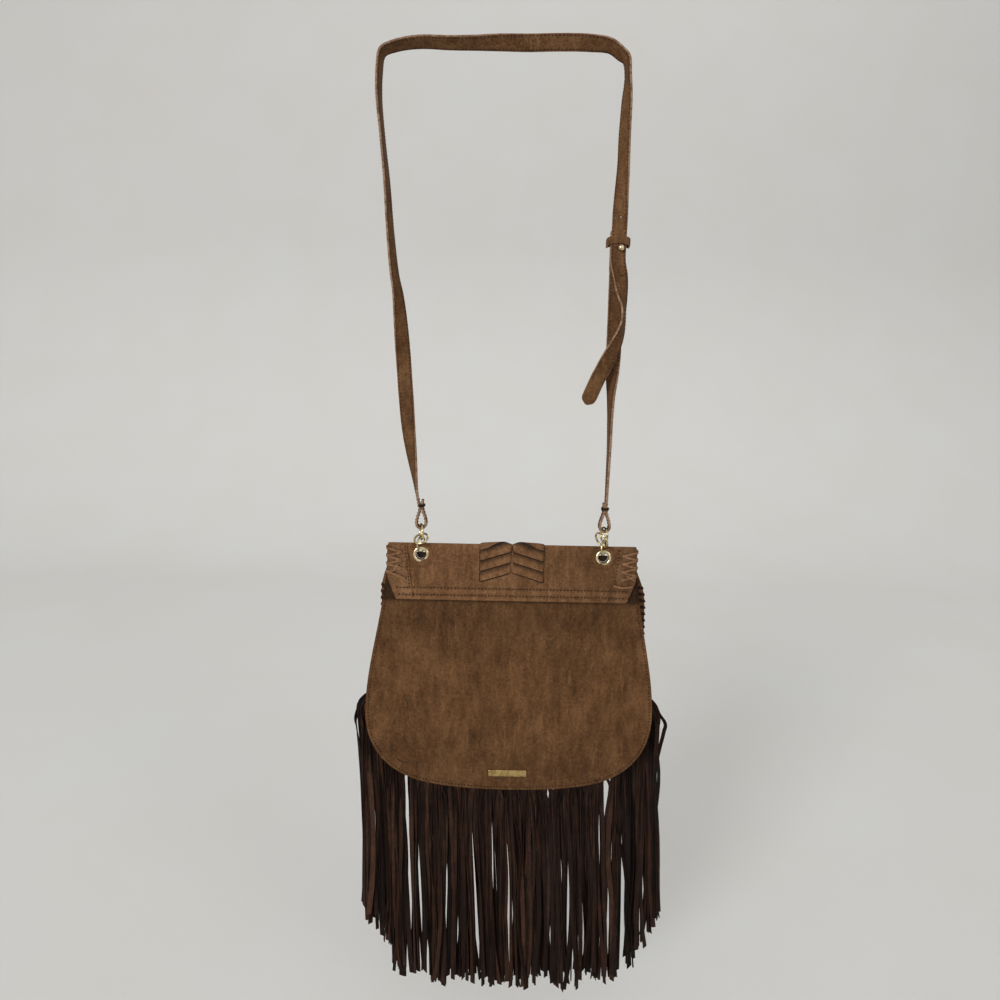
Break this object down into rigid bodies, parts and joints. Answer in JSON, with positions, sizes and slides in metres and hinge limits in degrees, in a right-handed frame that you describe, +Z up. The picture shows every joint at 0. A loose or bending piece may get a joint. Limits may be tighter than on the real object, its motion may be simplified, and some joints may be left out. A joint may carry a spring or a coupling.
{
  "type": "fringed crossbody bag",
  "caption": "Fringed suede saddle bag with a laced flap band, a front flap, eyelets and linked rings, hung by a long stitched strap.",
  "frame": {"origin": "where the strap bears on what it hangs from, above the middle of the bag", "axes": "+Z up, the back of the bag faces -Y, the flap faces +Y, +X to the right as seen from the back"},
  "size_m": [0.3559, 0.0679, 1.0609],
  "materials": {
    "suede": "mottled brown suede-look leather",
    "band_suede": "lighter brown suede-look leather",
    "strap_leather": "brown strap leather with sewn, painted edges",
    "fringe_suede": "dark brown matte suede, cut in strips",
    "brass": "pale polished brass"
  },
  "bodies": {
    "strap": {"strap_long": "strap_leather", "strap_short": "strap_leather", "keeper": "strap_leather", "stud": "brass", "ring_upper_left": "brass", "ring_upper_right": "brass"},
    "ring_left": {"ring_lower_left": "brass", "ring_loose_left": "brass"},
    "ring_right": {"ring_lower_right": "brass", "ring_loose_right": "brass"},
    "bag": {"back_panel": "suede", "front_panel": "suede", "gusset": "suede", "flap_band": "band_suede", "corner_patch_left": "band_suede", "corner_patch_right": "band_suede", "whip_lace_left": "band_suede", "whip_lace_right": "band_suede", "chevron_left_1": "band_suede", "chevron_left_2": "band_suede", "chevron_left_3": "band_suede", "chevron_left_4": "band_suede", "chevron_right_1": "band_suede", "chevron_right_2": "band_suede", "chevron_right_3": "band_suede", "chevron_right_4": "band_suede", "eyelet_left": "brass", "eyelet_right": "brass", "eyelet_washer_left": "brass", "eyelet_washer_right": "brass", "name_bar": "brass", "snap_body": "brass", "fringe_centre": "fringe_suede", "fringe_left": "fringe_suede", "fringe_right": "fringe_suede"},
    "flap": {"flap_front": "band_suede", "snap_flap": "brass"}
  },
  "joints": [
    {"name": "ring_swing_left", "type": "hinge", "parent": "strap", "child": "ring_left", "pos_m": [-0.0965, 0, -0.4811], "axis": [1, 0, 0], "range_deg": [-12, 12]},
    {"name": "ring_swing_right", "type": "hinge", "parent": "strap", "child": "ring_right", "pos_m": [0.0965, 0, -0.4811], "axis": [1, 0, 0], "range_deg": [-12, 12]},
    {"name": "bag_swing", "type": "hinge", "parent": "ring_left", "child": "bag", "pos_m": [-0.0965, 0, -0.4879], "axis": [1, 0, 0], "range_deg": [-16, 16]},
    {"name": "flap_open", "type": "hinge", "parent": "bag", "child": "flap", "pos_m": [0, 0.0027, -0.5103], "axis": [1, 0, 0], "range_deg": [0, 130]}
  ],
  "couplings": [
    {"joint": "ring_swing_right", "follows": "ring_swing_left", "ratio": 1}
  ]
}
